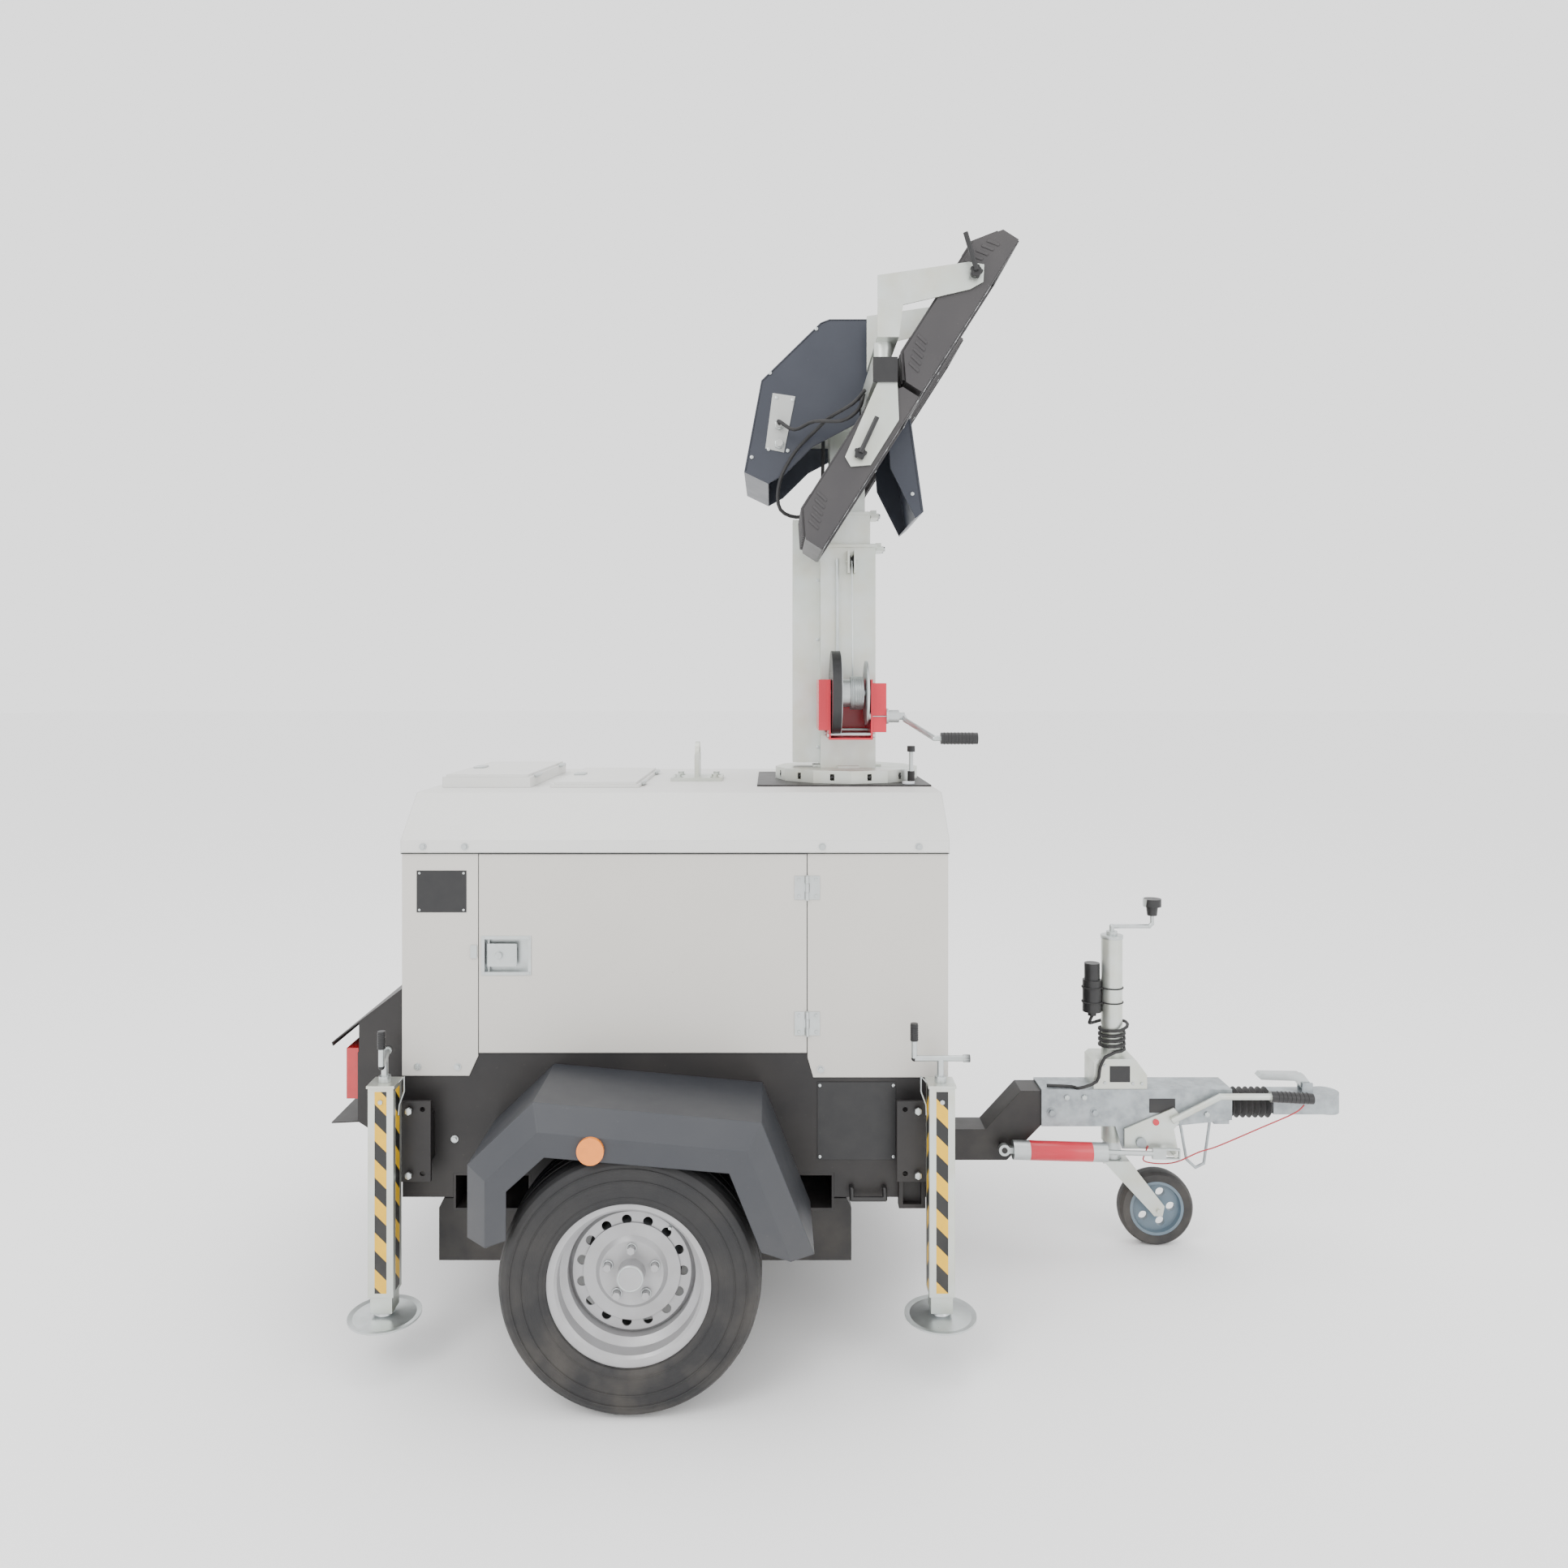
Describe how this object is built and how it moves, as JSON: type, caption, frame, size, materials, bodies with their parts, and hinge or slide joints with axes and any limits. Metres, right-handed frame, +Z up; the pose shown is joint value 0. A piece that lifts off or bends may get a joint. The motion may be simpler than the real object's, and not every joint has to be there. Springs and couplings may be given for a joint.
{
  "type": "mobile lighting tower trailer",
  "caption": "Single-axle trailer with a generator canopy, crank-down stabilisers and a hand-wound telescopic mast that slews and carries four tilting floodlights.",
  "frame": {"origin": "on the ground, under the middle of the bounding box", "axes": "+X points to the hitch, +Y to the left-hand side, +Z up"},
  "size_m": [2.7359, 1.648, 2.7233],
  "materials": {
    "panel_grey": "warm light grey powder coat, satin",
    "roof_white": "off-white powder coat, satin",
    "chassis_black": "black textured chassis paint",
    "guard_grey": "dark slate moulded plastic",
    "zinc": "zinc plated and yellow passivated steel",
    "galvanised": "hot-dip galvanised steel, mottled",
    "lamp_grey": "dark grey painted die casting with clear lens",
    "head_slate": "slate blue-grey satin paint",
    "winch_red": "red gloss paint",
    "rim_silver": "silver wheel paint",
    "tyre_rubber": "black tyre rubber",
    "black_rubber": "black rubber",
    "marker_red": "red lens plastic, amber on the side reflectors",
    "plug_black": "black moulded plastic",
    "cable_red": "red plastic coated wire",
    "engine": "dark machinery paint",
    "hardware": "stainless steel fittings"
  },
  "bodies": {
    "trailer": {"chassis_frame": "chassis_black", "fork_pockets": "chassis_black", "axle_beam": "chassis_black", "drawbar": "chassis_black", "overrun_housing": "galvanised", "canopy_panels": "panel_grey", "canopy_roof": "roof_white", "lifting_eye": "zinc", "mudguards": "guard_grey", "marker_lights": "marker_red", "panel_hardware": "hardware", "tail_cover": "chassis_black", "stabiliser_tubes": "zinc", "power_unit": "engine", "jockey_outer_tube": "zinc", "trailer_lead": "black_rubber", "trailer_plug": "plug_black", "bellows": "black_rubber"},
    "door_right": {"door_right": "panel_grey"},
    "door_left": {"door_left": "panel_grey"},
    "latch_right": {"latch_right": "hardware"},
    "latch_left": {"latch_left": "hardware"},
    "wheel_right": {"tyre_right": "tyre_rubber", "rim_right": "rim_silver"},
    "wheel_left": {"tyre_left": "tyre_rubber", "rim_left": "rim_silver"},
    "leg_front_right": {"leg_front_right": "zinc"},
    "leg_crank_front_right": {"leg_crank_front_right": "zinc"},
    "leg_front_left": {"leg_front_left": "zinc"},
    "leg_crank_front_left": {"leg_crank_front_left": "zinc"},
    "leg_rear_right": {"leg_rear_right": "zinc"},
    "leg_crank_rear_right": {"leg_crank_rear_right": "zinc"},
    "leg_rear_left": {"leg_rear_left": "zinc"},
    "leg_crank_rear_left": {"leg_crank_rear_left": "zinc"},
    "mast_base": {"mast_section_1": "zinc", "mast_fittings": "zinc", "winch_frame": "winch_red", "winch_rope": "hardware"},
    "mast_middle": {"mast_section_2": "zinc"},
    "mast_head": {"mast_section_3": "zinc", "lamp_crossbar": "zinc", "head_cover": "head_slate", "head_cable_loop": "black_rubber", "head_cable_gland": "black_rubber"},
    "winch_drum": {"winch_drum": "zinc"},
    "winch_crank": {"winch_crank": "zinc"},
    "slew_lock_pin": {"slew_lock_pin": "zinc"},
    "lamp_upper_right": {"lamp_upper_right": "lamp_grey"},
    "lamp_upper_left": {"lamp_upper_left": "lamp_grey"},
    "lamp_lower_right": {"lamp_lower_right": "lamp_grey"},
    "lamp_lower_left": {"lamp_lower_left": "lamp_grey"},
    "jockey_tube": {"jockey_inner_tube": "zinc"},
    "jockey_fork": {"jockey_fork": "zinc"},
    "jockey_wheel": {"jockey_wheel": "black_rubber"},
    "jockey_crank": {"jockey_crank": "zinc"},
    "handbrake": {"handbrake_lever": "zinc", "breakaway_cable": "cable_red"},
    "brake_cylinder": {"brake_spring_cylinder": "zinc"},
    "coupling": {"coupling_head": "galvanised"},
    "coupling_handle": {"coupling_handle": "zinc"}
  },
  "joints": [
    {"name": "door_right_hinge", "type": "hinge", "parent": "trailer", "child": "door_right", "pos_m": [-0.189, -0.525, 0.95], "axis": [0, 0, 1], "range_deg": [0, 110]},
    {"name": "door_left_hinge", "type": "hinge", "parent": "trailer", "child": "door_left", "pos_m": [-0.189, 0.525, 0.95], "axis": [0, 0, -1], "range_deg": [0, 110]},
    {"name": "latch_right_pivot", "type": "hinge", "parent": "door_right", "child": "latch_right", "pos_m": [-0.97, -0.511, 0.958], "axis": [0, 0, -1], "range_deg": [0, 40], "stiffness_Nm_per_rad": 0.6},
    {"name": "latch_left_pivot", "type": "hinge", "parent": "door_left", "child": "latch_left", "pos_m": [-0.97, 0.511, 0.958], "axis": [0, 0, 1], "range_deg": [0, 40], "stiffness_Nm_per_rad": 0.6},
    {"name": "wheel_right_spin", "type": "hinge", "parent": "trailer", "child": "wheel_right", "pos_m": [-0.592, -0.712, 0.2945], "axis": [0, 1, 0], "continuous": true},
    {"name": "wheel_left_spin", "type": "hinge", "parent": "trailer", "child": "wheel_left", "pos_m": [-0.592, 0.712, 0.2945], "axis": [0, 1, 0], "continuous": true},
    {"name": "leg_front_right_slide", "type": "slide", "parent": "trailer", "child": "leg_front_right", "axis": [0, 0, -1], "range_m": [0, 0.3]},
    {"name": "leg_crank_front_right_turn", "type": "hinge", "parent": "trailer", "child": "leg_crank_front_right", "pos_m": [0.125, -0.6, 0.733], "axis": [0, 0, 1], "range_deg": [0, 13500]},
    {"name": "leg_front_left_slide", "type": "slide", "parent": "trailer", "child": "leg_front_left", "axis": [0, 0, -1], "range_m": [0, 0.3]},
    {"name": "leg_crank_front_left_turn", "type": "hinge", "parent": "trailer", "child": "leg_crank_front_left", "pos_m": [0.125, 0.6, 0.733], "axis": [0, 0, 1], "range_deg": [0, 13500]},
    {"name": "leg_rear_right_slide", "type": "slide", "parent": "trailer", "child": "leg_rear_right", "axis": [0, 0, -1], "range_m": [0, 0.3]},
    {"name": "leg_crank_rear_right_turn", "type": "hinge", "parent": "trailer", "child": "leg_crank_rear_right", "pos_m": [-1.195, -0.6, 0.733], "axis": [0, 0, 1], "range_deg": [0, 13500]},
    {"name": "leg_rear_left_slide", "type": "slide", "parent": "trailer", "child": "leg_rear_left", "axis": [0, 0, -1], "range_m": [0, 0.3]},
    {"name": "leg_crank_rear_left_turn", "type": "hinge", "parent": "trailer", "child": "leg_crank_rear_left", "pos_m": [-1.195, 0.6, 0.733], "axis": [0, 0, 1], "range_deg": [0, 13500]},
    {"name": "slew", "type": "hinge", "parent": "trailer", "child": "mast_base", "pos_m": [-0.059, 0, 1.384], "axis": [0, 0, 1], "range_deg": [-170, 170]},
    {"name": "mast_middle_slide", "type": "slide", "parent": "mast_base", "child": "mast_middle", "axis": [0, 0, 1], "range_m": [0, 1.25]},
    {"name": "mast_head_slide", "type": "slide", "parent": "mast_middle", "child": "mast_head", "axis": [0, 0, 1], "range_m": [0, 1.25]},
    {"name": "winch_drum_turn", "type": "hinge", "parent": "mast_base", "child": "winch_drum", "pos_m": [-0.059, -0.2, 1.597], "axis": [1, 0, 0], "range_deg": [0, 1791]},
    {"name": "winch_crank_turn", "type": "hinge", "parent": "mast_base", "child": "winch_crank", "pos_m": [0, -0.234, 1.535], "axis": [1, 0, 0], "range_deg": [-7163, 0]},
    {"name": "lock_pin_lift", "type": "slide", "parent": "trailer", "child": "slew_lock_pin", "axis": [0, 0, 1], "range_m": [0, 0.02]},
    {"name": "lamp_lower_right_tilt", "type": "hinge", "parent": "mast_head", "child": "lamp_lower_right", "pos_m": [-0.0625, -0.398, 2.1776], "axis": [0, 1, 0], "range_deg": [0, 55]},
    {"name": "lamp_lower_left_tilt", "type": "hinge", "parent": "mast_head", "child": "lamp_lower_left", "pos_m": [-0.0625, 0.398, 2.1776], "axis": [0, 1, 0], "range_deg": [0, 55]},
    {"name": "lamp_upper_right_tilt", "type": "hinge", "parent": "mast_head", "child": "lamp_upper_right", "pos_m": [0.2158, -0.398, 2.6145], "axis": [0, 1, 0], "range_deg": [-40, 0]},
    {"name": "lamp_upper_left_tilt", "type": "hinge", "parent": "mast_head", "child": "lamp_upper_left", "pos_m": [0.2158, 0.398, 2.6145], "axis": [0, 1, 0], "range_deg": [-40, 0]},
    {"name": "jockey_slide", "type": "slide", "parent": "trailer", "child": "jockey_tube", "axis": [0, 0, -1], "range_m": [0, 0.2]},
    {"name": "jockey_crank_turn", "type": "hinge", "parent": "trailer", "child": "jockey_crank", "pos_m": [0.712, 0, 0.9], "axis": [0, 0, 1], "range_deg": [0, 14400]},
    {"name": "jockey_swivel", "type": "hinge", "parent": "jockey_tube", "child": "jockey_fork", "pos_m": [0.712, 0, 0.26], "axis": [0, 0, 1], "continuous": true},
    {"name": "jockey_wheel_spin", "type": "hinge", "parent": "jockey_fork", "child": "jockey_wheel", "pos_m": [0.836, 0, 0.1075], "axis": [0, 1, 0], "continuous": true},
    {"name": "handbrake_pull", "type": "hinge", "parent": "trailer", "child": "handbrake", "pos_m": [0.777, -0.056, 0.315], "axis": [0, -1, 0], "range_deg": [0, 60]},
    {"name": "brake_cylinder_swing", "type": "hinge", "parent": "trailer", "child": "brake_cylinder", "pos_m": [0.383, -0.081, 0.303], "axis": [0, -1, 0], "range_deg": [0, 11]},
    {"name": "overrun_slide", "type": "slide", "parent": "trailer", "child": "coupling", "axis": [-1, 0, 0], "range_m": [0, 0.08], "stiffness_N_per_m": 3000, "deforming": ["bellows"]},
    {"name": "coupling_handle_lift", "type": "hinge", "parent": "coupling", "child": "coupling_handle", "pos_m": [1.273, 0, 0.456], "axis": [0, 1, 0], "range_deg": [0, 50]}
  ],
  "couplings": [
    {"joint": "leg_crank_front_right_turn", "follows": "leg_front_right_slide", "rad_per_m": 785.4},
    {"joint": "leg_crank_front_left_turn", "follows": "leg_front_left_slide", "rad_per_m": 785.4},
    {"joint": "leg_crank_rear_right_turn", "follows": "leg_rear_right_slide", "rad_per_m": 785.4},
    {"joint": "leg_crank_rear_left_turn", "follows": "leg_rear_left_slide", "rad_per_m": 785.4},
    {"joint": "mast_head_slide", "follows": "mast_middle_slide", "ratio": 1},
    {"joint": "winch_drum_turn", "follows": "mast_middle_slide", "rad_per_m": 25},
    {"joint": "winch_crank_turn", "follows": "mast_middle_slide", "rad_per_m": -100},
    {"joint": "jockey_crank_turn", "follows": "jockey_slide", "rad_per_m": 1256.6},
    {"joint": "brake_cylinder_swing", "follows": "handbrake_pull", "ratio": 0.1815}
  ]
}
